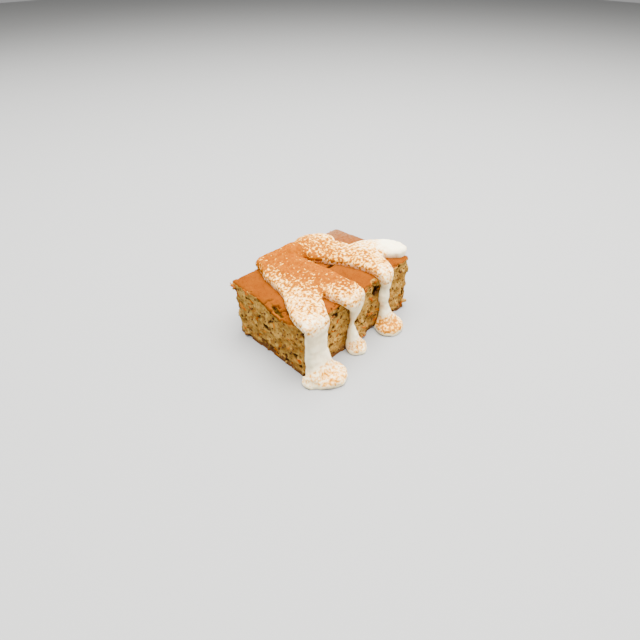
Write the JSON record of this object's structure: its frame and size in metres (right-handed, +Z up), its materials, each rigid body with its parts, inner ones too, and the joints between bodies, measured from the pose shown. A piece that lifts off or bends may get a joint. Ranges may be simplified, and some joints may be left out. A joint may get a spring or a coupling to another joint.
{
  "type": "carrot cake slice",
  "caption": "Square-cut slice of carrot cake with a browned crust and poured cream that runs down one side into pools at its foot.",
  "frame": {"origin": "middle of the cake's flat underside, on the surface that it stands on", "axes": "+X along the slice, -Y out of the long cut face that the cream runs down, +Z up"},
  "size_m": [0.1057, 0.0868, 0.0471],
  "materials": {
    "carrot crumb": "matte, open crumb under a browned crust",
    "whipped cream": "soft satin, dusted with cinnamon"
  },
  "bodies": {
    "root": {"cake": "carrot crumb", "cream": "whipped cream"}
  },
  "joints": []
}
